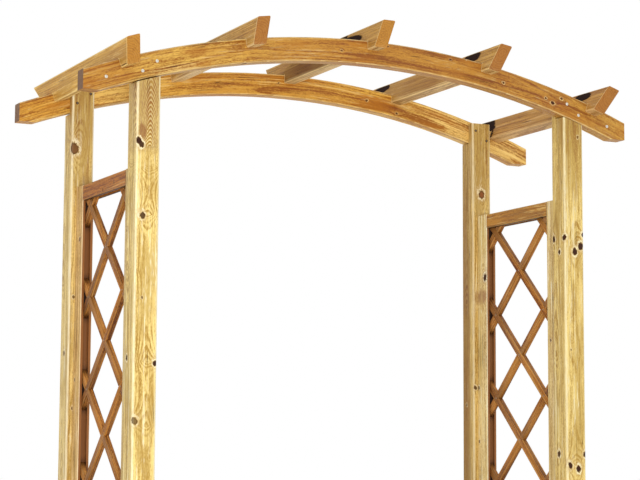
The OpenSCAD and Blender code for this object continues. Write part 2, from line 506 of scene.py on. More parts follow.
def pine(name, look, lie, half, heart, knots=(), flames=(), patches=(), shade=(1, 1, 1),
         end_shade=(1, 1, 1), seed=0.0, extra=None):
    """Pine with its rings about the heart. half is the half sizes across the grain and
    the radius of the eased edges, and heart the heart's place, all in millimetres. shade
    and end_shade warm or darken the piece and its sawn ends. extra finishes the colour in
    a way of the piece's own."""
    net, shader, material = new_material(name)
    pale, dark, tint, rubbed = (
        shaded(colour, shade) for colour in (look.pale, look.dark, look.tint, look.rubbed))
    crack = tuple(look.crack)
    point, end = lie(net)
    x, y, z = net.parts(point)
    heart = Vector((*heart, 0.0))

    def noise(across, along, detail, shift):
        return net.noise(point, across, along, detail, seed + shift)

    # Rings lie about the heart, and swell round knots and in flames
    distance = from_heart(net, (x, y, z), look, heart, seed)
    distance = distance + (noise(*SWAY) - 0.5) * SWAY_MM
    wobble = (noise(*KNOT_WOBBLE) - 0.5) * 0.9 + 1.0
    distance, shown = add_knots(net, point, heart, knots, distance, wobble)
    clear = None
    for flame in flames:
        push, strength = flame_field(net, point, flame)
        distance = distance - push
        clear = strength if clear is None else strength + clear

    # Pale early wood darkens to the late wood, which stops short
    rings = distance / look.ring_mm
    number = rings.through("FLOOR")
    part = rings - number
    late = net.band(part, *LATE_WOOD)
    chance = net.node("ShaderNodeTexWhiteNoise", {"noise_dimensions": "1D"}, {"W": number + seed})
    late = late * (chance * 0.6 + 0.4)
    if clear is not None:
        late = late * (clear * FLAME_CONTRAST + 1.0)

    # Bands, streaks, flecks, fibres and specks run with the grain
    kinds = [noise(*kind) - 0.5 for kind in (BAND, STREAK, FLECK, FIBRE, SPECK)]
    _, streak, fleck, fibre, speck = kinds
    weighed = [kind * weight for kind, weight in zip(kinds, FIGURE)]
    figure = sum(weighed[1:], weighed[0])
    tone = late * look.contrast + figure * look.figure + look.depth

    # Patches of another colour lie under the grain, black ones (painted shadow) and knot-brown ones
    # over it
    marks = []
    shadow_patches = None
    stain_and_shade = None
    for patch in patches:
        field = patch_field(net, point, patch, streak * 1.2)
        if patch.wood in OVER_GRAIN:
            marks.append((field, tuple(getattr(look, patch.wood))))
            if patch.wood == "crack":
                shadow_patches = field if shadow_patches is None else shadow_patches.most(field)
            continue
        pale = net.blend(field, pale, shaded(getattr(look, patch.wood), shade))
        if patch.wood != "rubbed":
            dark = net.blend(field * PATCH_ON_DARK, dark, shaded(look.knot, shade))
            stain_and_shade = field if stain_and_shade is None else stain_and_shade.most(field)
    colour = net.blend(tone, pale, dark)
    cloudy = net.step(noise(*CLOUD), *CLOUDY)
    colour = net.blend(cloudy * CLOUD_STRENGTH, colour, tint)
    worn = net.step(streak - fleck * 0.5, *WORN) * (WORN_STRENGTH * look.figure)
    if stain_and_shade is not None:
        worn = worn * (stain_and_shade * -0.7 + 1.0)
    colour = net.blend(worn, colour, rubbed)
    if clear is not None:
        bright = clear.most(0.0) * net.step(late, 0.5, 0.1) * FLAME_SHINE
        colour = net.blend(bright, colour, rubbed)

    # Thin veins, and fine checks that open along the grain
    line = (noise(*VEIN) - 0.5).size()
    check = net.step(line, *IN_CHECK) * net.step(noise(*CHECKED), *CHECKED_PLACES)
    colour = net.blend(net.step(line, *IN_VEIN) * VEIN_STRENGTH, colour, dark)
    colour = net.blend(check * CHECK_STRENGTH, colour, crack)
    for field, wood in marks:
        colour = net.blend(field, colour, wood)

    # Eased edges are painted paler, partly as wear and partly as a painted highlight; sawn ends are
    # darker
    half_x, half_y, edge = half
    corner_x = ((x.size() - (half_x - edge)) / edge).most(0.0)
    corner_y = ((y.size() - (half_y - edge)) / edge).most(0.0)
    edge_highlight_and_wear = (corner_x * corner_y * EDGE_HIGHLIGHT_STRENGTH).least(1.0) * (fleck * 1.6 + 0.9)
    colour = net.blend(edge_highlight_and_wear * look.edge, colour, rubbed)
    if end is not None:
        sawn = net.step(end, *SAWN)
        grit = noise(*GRIT) * 0.15 + late * 0.3 + speck * 0.9
        sawn_wood = net.blend(grit, shaded(look.end, end_shade), tuple(look.knot))
        colour = net.blend(sawn * SAWN_STRENGTH, colour, sawn_wood)

    # Relief, in millimetres, and roughness
    height = late * 0.12 + fibre * 0.16 + streak * 0.3 + fleck * 0.2 - check * 0.5
    rough = fibre * 0.2 + late * -0.08 + look.roughness
    if shadow_patches is not None:
        rough = shadow_patches * 0.5 + rough
    if shown is not None:
        colour, rim = colour_knots(net, look, colour, shown, noise(*GLINT_GAP_NOISE), rubbed)
        height = height + shown[1] * 0.25 - rim * 0.3
        rough = shown[1] * 0.3 + rough
    if extra is not None:
        colour = extra(net, (x, y, z), end, colour, rubbed)

    bump = net.node("ShaderNodeBump", None, {"Height": height, "Distance": 1 / MM})
    net.join(colour, shader.inputs["Base Color"])
    net.join(rough, shader.inputs["Roughness"])
    net.join(bump, shader.inputs["Normal"])
    shader.inputs["IOR"].default_value = PINE_IOR
    shader.inputs["Specular IOR Level"].default_value = PINE_GLOSS
    return material


def scattered(seed, length, half, count):
    """Knots at random places on the faces of a piece that is not one of the posts."""
    draw = random.Random(seed)
    knots = []
    for _ in range(count):
        z = draw.uniform(-length / 2, length / 2)
        if draw.random() < ON_THE_SIDES:
            x = half[0] * draw.choice((-1, 1))
            y = draw.uniform(-OFF_EDGES, OFF_EDGES) * half[1]
        else:
            x = draw.uniform(-OFF_EDGES, OFF_EDGES) * half[0]
            y = half[1] * draw.choice((-1, 1))
        knots.append(Knot(x, y, z, draw.uniform(*SMALL_KNOT_MM), draw.uniform(*SMALL_KNOT_DARK)))
    return knots


def dress(node, slot, look, lie, half, **wood):
    """Gives a CAD node a pine of its own."""
    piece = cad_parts[node]
    piece.data.materials.clear()
    piece.data.materials.append(pine(node + "_pine", look, lie, half, **wood))


# ---------------------------------------------------------------- settings


COLOURS = {
    "pale": "Pale wood",
    "dark": "Dark wood",
    "tint": "Tint",
    # the rubbed colour also paints highlights: on eased edges, round knots, along sawn arrises and
    # under the rafters
    "rubbed": "Rubbed edge",
    "edge_wood": "Edge wood",
    "end": "Sawn end",
    "knot": "Knot",
    "halo": "Knot stain",
    # the crack colour also paints black shade: shadows on the rafters and one post, and shade in
    # the grooves
    "crack": "Crack",
}
AMOUNTS = {
    "ring_mm": ("Ring width", "Width of a year's ring, in millimetres", 1, 10),
    "wander_mm": ("Wander", "How far the heart wanders, in millimetres", 0, 60),
    "contrast": ("Contrast", "Strength of the late wood", 0, 2),
    "depth": ("Depth", "How dark the wood is between its rings", 0, 1),
    "figure": ("Figure", "Strength of the streaks and flecks", 0, 2),
    # edge: how pale the eased edges are painted, as wear and as highlight
    "edge": ("Edge wear", "Paleness of the rounded edges", 0, 1),
    "roughness": ("Roughness", "Roughness of the planed face", 0, 1),
}


def colour(name, words, default):
    """A colour property, in linear values."""
    return FloatVectorProperty(
        name=name, description=words, default=default, subtype="COLOR", size=3, min=0, max=1
    )


def amount(name, words, default, low=0.0, high=1.0, unit="NONE"):
    """A number property."""
    return FloatProperty(
        name=name, description=words, default=default, min=low, max=high, unit=unit
    )


def length(name, words, default, low, high):
    """A length property, in metres."""
    return amount(name, words, default, low, high, "LENGTH")


def timber(**defaults):
    """The properties of one kind of timber, from their defaults."""
    made = {}
    for key, default in defaults.items():
        if key in COLOURS:
            name = COLOURS[key]
            made[key] = colour(name, name.capitalize() + " of this timber", default)
        else:
            name, words, low, high = AMOUNTS[key]
            made[key] = amount(name, words, default, low, high)
    return made


class PostLook(bpy.types.PropertyGroup):
    """Pine of the posts: pale, yellow-green, with strong knots."""

    __annotations__ = timber(
        pale=(0.9, 0.68, 0.235), dark=(0.44, 0.25, 0.045), tint=(0.49, 0.31, 0.07),
        rubbed=(0.98, 0.88, 0.55), end=(0.42, 0.27, 0.09), knot=(0.24, 0.075, 0.02),
        halo=(0.46, 0.24, 0.05), crack=(0.025, 0.01, 0.006), ring_mm=6.0, wander_mm=20,
        contrast=0.7, depth=0.12, figure=1.25, edge=0.75, roughness=0.5,
    )


class BeamLook(bpy.types.PropertyGroup):
    """Pine of the beams: orange brown, its grain following the curve."""

    __annotations__ = timber(
        pale=(0.72, 0.41, 0.07), dark=(0.29, 0.095, 0.01), tint=(0.43, 0.155, 0.015),
        rubbed=(0.86, 0.62, 0.24), end=(0.105, 0.055, 0.024), knot=(0.2, 0.05, 0.015),
        halo=(0.32, 0.11, 0.015), crack=(0.03, 0.01, 0.006), ring_mm=5.0, wander_mm=26,
        contrast=0.8, depth=0.14, figure=1.2, edge=0.7, roughness=0.5,
    )


class RafterLook(bpy.types.PropertyGroup):
    """Pine of the rafters: orange to brown."""

    __annotations__ = timber(
        pale=(0.64, 0.38, 0.085), dark=(0.3, 0.125, 0.02), tint=(0.42, 0.235, 0.055),
        rubbed=(0.88, 0.66, 0.3), end=(0.46, 0.175, 0.02), knot=(0.18, 0.05, 0.015),
        halo=(0.3, 0.12, 0.02), crack=(0.02, 0.007, 0.004), ring_mm=6.0, wander_mm=18,
        contrast=0.6, depth=0.14, figure=0.75, edge=0.75, roughness=0.52,
    )


class RailLook(bpy.types.PropertyGroup):
    """Pine of the panels' rails: red brown."""

    __annotations__ = timber(
        pale=(0.45, 0.18, 0.025), dark=(0.15, 0.04, 0.007), tint=(0.3, 0.125, 0.025),
        rubbed=(0.62, 0.36, 0.12), end=(0.24, 0.09, 0.02), knot=(0.12, 0.035, 0.012),
        halo=(0.2, 0.07, 0.015), crack=(0.02, 0.006, 0.004), ring_mm=5.0, wander_mm=16,
        contrast=0.6, depth=0.12, figure=1.4, edge=0.5, roughness=0.55,
    )


class StileLook(bpy.types.PropertyGroup):
    """Pine of the panels' stiles: olive tan, with red-brown inner edges."""

    __annotations__ = timber(
        pale=(0.82, 0.62, 0.27), dark=(0.40, 0.22, 0.055), tint=(0.60, 0.42, 0.13),
        rubbed=(0.95, 0.85, 0.60), edge_wood=(0.27, 0.092, 0.023), end=(0.33, 0.16, 0.05),
        knot=(0.16, 0.045, 0.03), halo=(0.34, 0.15, 0.06), crack=(0.02, 0.007, 0.005),
        ring_mm=5.0, wander_mm=16, contrast=0.6, depth=0.14, figure=1.4, edge=0.7,
        roughness=0.55,
    )


class SlatLook(bpy.types.PropertyGroup):
    """Pine of the lattice slats: red brown, each slat a little different."""

    __annotations__ = timber(
        pale=(0.5, 0.195, 0.034), dark=(0.12, 0.03, 0.006), tint=(0.47, 0.2, 0.04),
        rubbed=(0.58, 0.32, 0.09), end=(0.2, 0.07, 0.02), knot=(0.12, 0.035, 0.012),
        halo=(0.2, 0.07, 0.015), crack=(0.02, 0.006, 0.004), ring_mm=4.0, wander_mm=14,
        contrast=0.7, depth=0.1, figure=1.2, edge=0.45, roughness=0.58,
    )


class SlatSizes(bpy.types.PropertyGroup):
    """Sizes of the lattice slats."""

    width: length("Width", "Width of a slat", 0.022, 0.016, 0.032)
    thickness: length("Thickness", "Thickness of a slat", 0.016, 0.008, 0.024)
    edge: length("Edge", "Radius of a slat's edges", 0.0018, 0.0005, 0.004)
    pitch: length("Pitch", "Height between crossings", 0.27, 0.18, 0.3)
    slope: amount(
        "Slope", "Angle of the slats above level", math.radians(44), 0.6, 0.9, "ROTATION")
    gap: length("Gap", "Play in the halved joints", 0.0003, 0.0, 0.001)


class FixingSizes(bpy.types.PropertyGroup):
    """Sizes of the screws and nails."""

    screw: length("Screw head", "Radius of a screw's head", 0.0048, 0.003, 0.008)
    screw_dome: length("Screw dome", "Height of a screw's head", 0.0018, 0.0005, 0.004)
    hole: length("Hole", "Radius of the hole round a screw's point", 0.0036, 0.002, 0.006)
    nail: length("Nail head", "Radius of a nail's head", 0.0026, 0.0015, 0.005)
    nail_dome: length("Nail dome", "Height of a nail's head", 0.0007, 0.0003, 0.002)


class StageLook(bpy.types.PropertyGroup):
    """Floor, light and background."""

    floor: colour("Floor", "Colour of the floor near the arch", (0.80, 0.80, 0.79))
    sky: amount("Sky", "Light from all round", 0.61, 0, 2)
    key: amount("Key", "Power of the low light at the front left, in watts", 115, 0, 1000)
    top: amount("Top", "Strength of the light from above, in front", 0.45, 0, 10)
    reach: IntProperty(
        name="Reach", description="Half size of the floor, in metres", default=30, min=5, max=200)


def group(kind, name, words):
    """A group of properties."""
    return PointerProperty(type=kind, name=name, description=words)


class ArchSettings(bpy.types.PropertyGroup):
    """Everything that a user of the rose arch would change."""

    posts: group(PostLook, "Posts", "Pine of the posts")
    beams: group(BeamLook, "Beams", "Pine of the beams")
    rafters: group(RafterLook, "Rafters", "Pine of the rafters")
    rails: group(RailLook, "Rails", "Pine of the panels' rails")
    stiles: group(StileLook, "Stiles", "Pine of the panels' stiles")
    slats: group(SlatLook, "Slats", "Pine of the lattices' slats")
    slat_sizes: group(SlatSizes, "Slat sizes", "Sizes of the lattices' slats")
    fixings: group(FixingSizes, "Fixings", "Sizes of the screws and nails")
    stage: group(StageLook, "Stage", "Floor and light")


# ---------------------------------------------------------------- posts


POST_SEEDS = (2.0, 11.0)
POSTS = {
    "post_front_left": {
        "heart": (6, 4),
        "shade": (1.0, 1.0, 1.02),
        "knots": (
            Knot(-28, -35, 1847, 6.0, 1.0), Knot(-19, -35, 1836, 5.5, 0.95),
            Knot(35, 4, 1850, 6.0), Knot(-8, 35, 1842, 5.0),
            Knot(-13, -35, 1640, 6.0, 0.9), Knot(-35, 32, 1605, 3.5, 0.9),
            Knot(12, 35, 1650, 6.0), Knot(-11, -35, 1416, 2.4, 0.7), Knot(35, 10, 1420, 3.0),
            Knot(29, -35, 1238, 5.0, 1.0), Knot(-35, 12, 1253, 5.0, 0.95),
            Knot(-5, 35, 1245, 5.0), Knot(-28, -35, 1082, 6.5, 0.7), Knot(35, -12, 1090, 5.0),
            Knot(8, -35, 760, 6.0, 0.9), Knot(-35, -6, 775, 5.0), Knot(10, 35, 768, 5.0),
            Knot(-16, -35, 395, 5.5), Knot(35, 12, 402, 5.0),
        ),
        "flames": (
            Flame(6, -35, 1834, 230, up=400, down=34, width=72, clear=1.0),
            Flame(8, -35, 1644, 26, up=60, down=20, width=30),
            Flame(9, -35, 1241, 24, up=60, down=20, width=30),
            Flame(7, -35, 1068, 20, up=70, down=20, width=28),
            Flame(-2, 35, 1500, 60, up=200, down=60, width=50),
        ),
        "patches": (
            Patch(0, -35, 2098, 75, 330, 1.0), Patch(-18, -35, 1873, 15, 30, 0.7, "knot"),
        ),
    },
    "post_front_right": {
        "heart": (-4, 9),
        "shade": (0.93, 0.92, 0.90),
        "knots": (
            Knot(16, -35, 1973, 3.0, 0.5), Knot(1, -35, 1616, 7.0, 1.0),
            Knot(22, -35, 1634, 7.0, 1.0), Knot(33, -35, 1671, 5.0, 1.0),
            Knot(-35, 25, 1658, 6.0, 1.0), Knot(-35, -31, 1659, 5.5, 1.0),
            Knot(-35, -4, 1616, 4.5, 0.95), Knot(4, 35, 1640, 6.0),
            Knot(-16, -35, 1316, 2.2, 0.6), Knot(35, 8, 1330, 4.0),
            Knot(-22, -35, 966, 6.0, 1.0), Knot(7, -35, 956, 6.5, 1.0),
            Knot(31, -35, 1000, 5.5, 0.95), Knot(-35, 7, 1000, 6.0, 0.95),
            Knot(-6, 35, 980, 6.0), Knot(14, -35, 610, 5.0), Knot(-35, -10, 622, 5.0),
            Knot(35, 4, 600, 5.0), Knot(-12, -35, 240, 6.0),
        ),
        "flames": (
            Flame(12, -35, 1640, 20, up=50, down=20, width=30),
            Flame(0, -35, 975, 20, up=55, down=20, width=30),
            Flame(4, 35, 1300, 60, up=220, down=60, width=50),
        ),
        "patches": (Patch(0, -35, 2098, 75, 330, 0.95),),
    },
    "post_back_left": {
        "heart": (3, 12),
        "shade": (0.94, 0.93, 1.0),
        "knots": (
            Knot(-26, -35, 1902, 11.0, 0.85, 0.5), Knot(20, 35, 1880, 6.0),
            Knot(-12, -35, 1690, 2.5, 0.7), Knot(-10, -35, 1545, 2.5, 0.7),
            Knot(-20, -35, 1456, 3.0, 0.7), Knot(-35, -2, 1290, 5.0), Knot(35, 10, 1310, 5.0),
            Knot(-17, -35, 1127, 3.0, 0.7), Knot(-6, 35, 1100, 6.0),
            Knot(-35, 6, 700, 6.0), Knot(-4, 35, 690, 6.0), Knot(35, -4, 320, 6.0),
        ),
        "flames": (
            Flame(-16, -35, 1915, 24, up=60, down=20, width=26),
            Flame(0, 35, 1500, 60, up=200, down=60, width=50),
            Flame(-35, 0, 900, 40, up=180, down=60, width=34),
        ),
        "patches": (
            Patch(0, -35, 2098, 75, 300, 0.8), Patch(14, -35, 1500, 34, 500, 0.8, "halo"),
        ),
    },
    "post_back_right": {
        "heart": (8, -3),
        "shade": (0.84, 0.78, 0.74),
        "knots": (
            Knot(0, -35, 1858, 8.5, 0.95, 0.0), Knot(35, 6, 1866, 5.0), Knot(-8, 35, 1850, 5.0),
            Knot(-28, -35, 1217, 4.0, 0.8), Knot(-35, 8, 1161, 3.0, 0.8),
            Knot(6, 35, 1190, 6.0), Knot(-28, -35, 760, 5.0), Knot(-4, 35, 770, 6.0),
            Knot(35, 6, 400, 6.0),
        ),
        "flames": (
            Flame(0, -35, 1850, 18, up=40, down=30, width=24),
            Flame(2, 35, 1400, 60, up=200, down=60, width=50),
            Flame(-35, 4, 1500, 26, up=120, down=40, width=30),
        ),
        "patches": (
            # the patches on the left face (x -35) are painted shade, in knot-stain brown and a
            # little black
            Patch(0, -35, 2098, 75, 320, 0.6), Patch(-35, 12, 1300, 34, 900, 0.85, "halo"),
            Patch(-35, 12, 1300, 32, 900, 0.14, "crack"),
            Patch(0, -35, 1515, 40, 30, 0.7, "halo"),
        ),
    },
}


def numbered(pieces, seeds):
    """Each piece's node and wood, with its number and its own seed."""
    first, step = seeds
    for number, (node, wood) in enumerate(pieces.items()):
        yield number, node, {**wood, "seed": first + step * number}


class ROSE_ARCH_OT_posts(bpy.types.Operator):
    """Finish the four posts in pale pine with their own knots"""

    bl_idname = "rose_arch.posts"
    bl_label = "Posts"

    def execute(self, context):
        look = context.scene.rose_arch.posts
        half = (POST_HALF * MM, POST_HALF * MM, POST_EDGE_MM)
        for _, node, wood in numbered(POSTS, POST_SEEDS):
            dress(node, "post_pine", look, upright(middle(node)), half, **wood)
        return {"FINISHED"}


# ---------------------------------------------------------------- beams and rafters


BEAM_SEEDS = (50.0, 9.0)
BEAMS = {
    "beam_front": {
        "heart": (38.0, 10.0),
        "shade": (0.96, 1.0, 1.15),
        "knots": (
            Knot(-22, -10, 635, 4.0, 0.95), Knot(-22, 14, 662, 3.0, 0.8),
            Knot(-22, -4, 607, 2.5, 0.8), Knot(-22, -4, 451, 2.6, 0.8),
            Knot(-22, 21, 260, 2.4, 0.7), Knot(-22, -1, -105, 2.4, 0.6),
            Knot(-22, 25, 47, 2.2, 0.6), Knot(-10, -35, -420, 5.0, 0.8),
            Knot(-5, 35, 310, 5.0, 0.8),
        ),
        "patches": (
            Patch(-22, 0, 250, 90, 900, 0.7), Patch(-22, -10, 650, 22, 90, 0.8),
            Patch(-22, 0, 451, 10, 40, 0.9), Patch(-22, 24, -60, 14, 170, 0.6),
            Patch(-22, -24, -640, 16, 120, 0.35, "rubbed"), Patch(-22, 0, -900, 90, 200, 0.6),
        ),
    },
    "beam_back": {
        "heart": (36.0, -22.0),
        "shade": (1.1, 1.1, 1.05),
        "knots": (
            Knot(-22, -5, 279, 3.0, 0.7), Knot(-22, -22, 395, 2.6, 0.8),
            Knot(-22, 7, -40, 2.2, 0.6), Knot(-8, 35, -560, 5.0, 0.8),
            Knot(-4, 35, 180, 5.0, 0.8),
        ),
        "patches": (
            Patch(-22, 0, -60, 80, 440, 0.5), Patch(-22, -8, 330, 26, 130, 0.9),
            Patch(-22, 0, 720, 90, 360, 0.5, "rubbed"),
            Patch(-22, 0, -600, 80, 230, 0.3, "rubbed"), Patch(-22, 0, -880, 80, 200, 0.4),
        ),
    },
}


class ROSE_ARCH_OT_beams(bpy.types.Operator):
    """Finish the two curved beams, their grain following the curve"""

    bl_idname = "rose_arch.beams"
    bl_label = "Beams"

    def execute(self, context):
        look = context.scene.rose_arch.beams
        for _, node, wood in numbered(BEAMS, BEAM_SEEDS):
            half = (size(node).y * MM / 2, BEAM_H * MM / 2, EASED_EDGE_MM)
            dress(node, "beam_pine", look, bowed(middle(node).y), half, **wood)
        return {"FINISHED"}


RAFTER_SEEDS = (80.0, 7.0)
RAFTER_KNOT_SEED = 71
RAFTER_KNOTS = 3
# Painted light: a paler strip along each rafter's underside, as lit from below
LIT_UNDERSIDE = Patch(0, -35, 0, 10, 800, 0.85, "rubbed", 60)
RAFTERS = {
    "rafter_1": {
        "heart": (26.0, -30.0),
        "shade": (1.16, 1.12, 0.95),
        "end_shade": (1.1, 1.22, 1.35),
        "patches": (Patch(20, -18, -330, 30, 60, 0.6, "tint", 8), LIT_UNDERSIDE),
    },
    "rafter_2": {
        "heart": (17.0, -17.0),
        "shade": (1.04, 1.04, 1.15),
        "end_shade": (0.85, 0.82, 1.2),
        "patches": (Patch(20, -10, 60, 40, 160, 0.8, "tint", 8), LIT_UNDERSIDE),
    },
    "rafter_3": {
        "heart": (8.0, -4.0),
        "shade": (0.94, 0.90, 0.9),
        "end_shade": (1.08, 1.22, 1.4),
        "patches": (
            # black wedges: painted shadow of the front beam; then painted shade on the lower side
            # between the beams
            Patch(20, 10, -176, 17, 104, 1.0, "crack"), Patch(20, 30, -152, 10, 30, 1.0, "crack"),
            Patch(20, -10, 40, 50, 260, 0.9, "dark", 8),
            Patch(20, -10, 60, 50, 240, 0.35, "crack", 8), LIT_UNDERSIDE,
        ),
    },
    "rafter_4": {
        "heart": (-1.0, 9.0),
        "shade": (0.96, 0.92, 0.88),
        "end_shade": (0.82, 0.78, 1.2),
        "patches": (
            # black wedges: painted shadows of the front and back beams; the dark patch is painted
            # shade on the lower side
            Patch(20, 22, -240, 16, 56, 1.0, "crack"), Patch(20, -10, 60, 50, 200, 0.5, "dark", 8),
            Patch(20, 24, 334, 15, 54, 1.0, "crack"), LIT_UNDERSIDE,
        ),
    },
    "rafter_5": {
        "heart": (-10.0, 22.0),
        "shade": (0.92, 0.82, 0.8),
        "end_shade": (0.85, 0.85, 1.2),
        "patches": (
            # black: painted shadow of the front beam, and painted shade in the gap beside the back
            # post
            Patch(20, 22, -266, 17, 50, 1.0, "crack"), Patch(20, -8, 305, 75, 66, 1.0, "crack", 16),
            LIT_UNDERSIDE,
        ),
    },
}
RAFTER_CUT_MM = 377.0
RAFTER_CUT_SLANT = 26.0 / 35.0
NOTCH_SIDES_MM = (259.0, 306.0)
NOTCH_TOP_MM = -8.0
CUT_ARRIS_MM = (4.5, 1.5)
NOTCH_ARRIS_MM = (4.0, 1.5)
OFF_SAWN_END = (0.6, 0.3)
ARRIS_HIGHLIGHT = 0.8


def painted_arris_highlights(net, place, end, colour, rubbed):
    """Painted highlights along the arrises where a rafter's ends are cut and where its notches are
    sawn.
    """
    _, y, z = place
    along = z.size()
    arris = net.step((along - y * RAFTER_CUT_SLANT - RAFTER_CUT_MM).size(), *CUT_ARRIS_MM)
    below = net.step(y, NOTCH_TOP_MM + 2.0, NOTCH_TOP_MM)
    for side in NOTCH_SIDES_MM:
        arris = arris.most(net.step((along - side).size(), *NOTCH_ARRIS_MM) * below)
    return net.blend(arris * net.step(end, *OFF_SAWN_END) * ARRIS_HIGHLIGHT, colour, rubbed)


class ROSE_ARCH_OT_rafters(bpy.types.Operator):
    """Finish the five rafters"""

    bl_idname = "rose_arch.rafters"
    bl_label = "Rafters"

    def execute(self, context):
        look = context.scene.rose_arch.rafters
        half = (RAFTER_T * MM / 2, RAFTER_H * MM / 2, EASED_EDGE_MM)
        for number, node, wood in numbered(RAFTERS, RAFTER_SEEDS):
            centre = middle(node)
            lean = math.atan2(centre.x, centre.z - CURVE_Z)
            run = size(node).y * MM
            knots = scattered(RAFTER_KNOT_SEED + number, run, half, RAFTER_KNOTS)
            dress(node, "rafter_pine", look, level(centre, lean), half,
                  knots=knots, extra=painted_arris_highlights, **wood)
        return {"FINISHED"}


# ---------------------------------------------------------------- side panels


STILE_SEEDS = (120.0, 6.0)
STILES = {
    "stile_left_front": {
        "heart": (28.0, -14.0),
        "knots": (Knot(-17, 6, 1480, 4.0), Knot(-17, -10, 700, 5.0)),
    },
    "stile_left_back": {
        "heart": (30.0, 6.0),
        "shade": (1.02, 0.91, 0.82),
        "knots": (
            Knot(-17, -8, 1625, 4.0, 0.7), Knot(-17, 12, 1210, 3.0, 0.7), Knot(-17, 5, 700, 5.0),
        ),
    },
    "stile_right_front": {
        "heart": (27.0, 10.0),
        "knots": (Knot(-17, 10, 1350, 3.0, 0.7), Knot(-17, -6, 800, 5.0)),
    },
    "stile_right_back": {
        "heart": (30.0, 2.0),
        "shade": (1.12, 1.15, 1.2),
        "knots": (
            Knot(-17, -17, 1577, 7.0, 0.95), Knot(-17, 24, 1217, 4.0, 0.9),
            Knot(-17, 22, 1041, 3.0, 0.7), Knot(-17, 8, 560, 5.0),
        ),
        "flames": (Flame(-17, -10, 1560, 26, up=40, down=60, width=24),),
        "patches": (Patch(-17, 0, 1515, 40, 34, 0.8, "halo"),),
    },
}
RAIL_SEEDS = (160.0, 5.0)
RAIL_KNOT_SEED = 141
RAIL_KNOTS = 3
LEFT_RAILS = (1.07, 0.95, 0.8)
RIGHT_RAILS = (1.14, 1.27, 1.2)
RAILS = {
    "rail_left_top": {"heart": (-30.0, 20.0), "shade": LEFT_RAILS},
    "rail_left_bottom": {"heart": (-30.0, 8.0), "shade": LEFT_RAILS},
    "rail_right_top": {"heart": (-30.0, -4.0), "shade": RIGHT_RAILS},
    "rail_right_bottom": {"heart": (-30.0, -16.0), "shade": RIGHT_RAILS},
}
GROOVE_HALF_MM = 8.5
CROSSING_SHADOW = (0.30, 0.16)
EDGE_STRENGTH = 0.95
RAIL_GROOVE_SHADE = 0.8


def near_crossings(net, z):
    """1 where the slats cross next to a stile, 0 half way between those places."""
    sizes = bpy.context.scene.rose_arch.slat_sizes
    turns = (z - middle("lattice_left").z * MM) / (sizes.pitch * MM) + 0.5
    away = (turns.through("FRACT") - 0.5).size()
    return net.step(away, *CROSSING_SHADOW)


def edge_grain_and_groove_shade(look, half_y, side):
    """A stile's edges are redder than its faces, and painted shade darkens the inside of its
    groove. side is the way from the stile to its groove."""

    def finish(net, place, end, colour, rubbed):
        x, y, z = place
        inside = net.step(x.size(), GROOVE_HALF_MM + 0.6, GROOVE_HALF_MM)
        inside = inside * net.step(y * side, 0.0, half_y * 0.25)
        on_edge = net.step(y.size(), half_y - 1.1, half_y - 0.2).most(inside)
        colour = net.blend(on_edge * EDGE_STRENGTH, colour, tuple(look.edge_wood))
        # painted shade in the groove, darkest where the slats cross near the stile
        shadow = near_crossings(net, z) * 0.65 + 0.3
        return net.blend(inside * shadow, colour, tuple(look.crack))

    return finish


def painted_groove_shade(look, half_z, side):
    """The edge of a rail that faces the slats, with painted shade round its groove."""

    def finish(net, place, end, colour, rubbed):
        edge = net.step(place[1] * side, half_z - 3.0, half_z - 0.5)
        return net.blend(edge * RAIL_GROOVE_SHADE, colour, tuple(look.crack))

    return finish


class ROSE_ARCH_OT_panel_frames(bpy.types.Operator):
    """Finish the stiles and rails of the side panels"""

    bl_idname = "rose_arch.panel_frames"
    bl_label = "Panel frames"

    def execute(self, context):
        look = context.scene.rose_arch.stiles
        for _, node, wood in numbered(STILES, STILE_SEEDS):
            box = size(node) * MM
            half = (box.x / 2, box.y / 2, EASED_EDGE_MM)
            groove = BACK if node.endswith("front") else FRONT
            dress(node, "panel_pine", look, upright(middle(node)), half,
                  extra=edge_grain_and_groove_shade(look, box.y / 2, groove), **wood)
        look = context.scene.rose_arch.rails
        for number, node, wood in numbered(RAILS, RAIL_SEEDS):
            box = size(node) * MM
            half = (box.x / 2, box.z / 2, EASED_EDGE_MM)
            groove = -1 if node.endswith("top") else 1
            knots = scattered(RAIL_KNOT_SEED + number, box.y, half, RAIL_KNOTS)
            dress(node, "panel_pine", look, level(middle(node)), half,
                  knots=knots, extra=painted_groove_shade(look, box.z / 2, groove), **wood)
        return {"FINISHED"}


# ---------------------------------------------------------------- geometry nodes


def new_tree(name, sockets, geometry_in=False):
    """A Geometry Nodes tree with named inputs: its net and its inputs as wires."""
    tree = bpy.data.node_groups.new(name, "GeometryNodeTree")
    if geometry_in:
        tree.interface.new_socket("Geometry", in_out="INPUT", socket_type="NodeSocketGeometry")
    for label, kind in sockets.items():
        tree.interface.new_socket(label, in_out="INPUT", socket_type="NodeSocket" + kind)
    tree.interface.new_socket("Geometry", in_out="OUTPUT", socket_type="NodeSocketGeometry")
    net = Net(tree)
    entry = tree.nodes.new("NodeGroupInput")
    wires = {socket.name: Wire(net, socket) for socket in entry.outputs if socket.name}
    return net, wires


def end_tree(net, geometry):
    """Passes the geometry out of a tree, and gives the tree."""
    way_out = net.tree.nodes.new("NodeGroupOutput")
    net.join(geometry, way_out.inputs[0])
    return net.tree


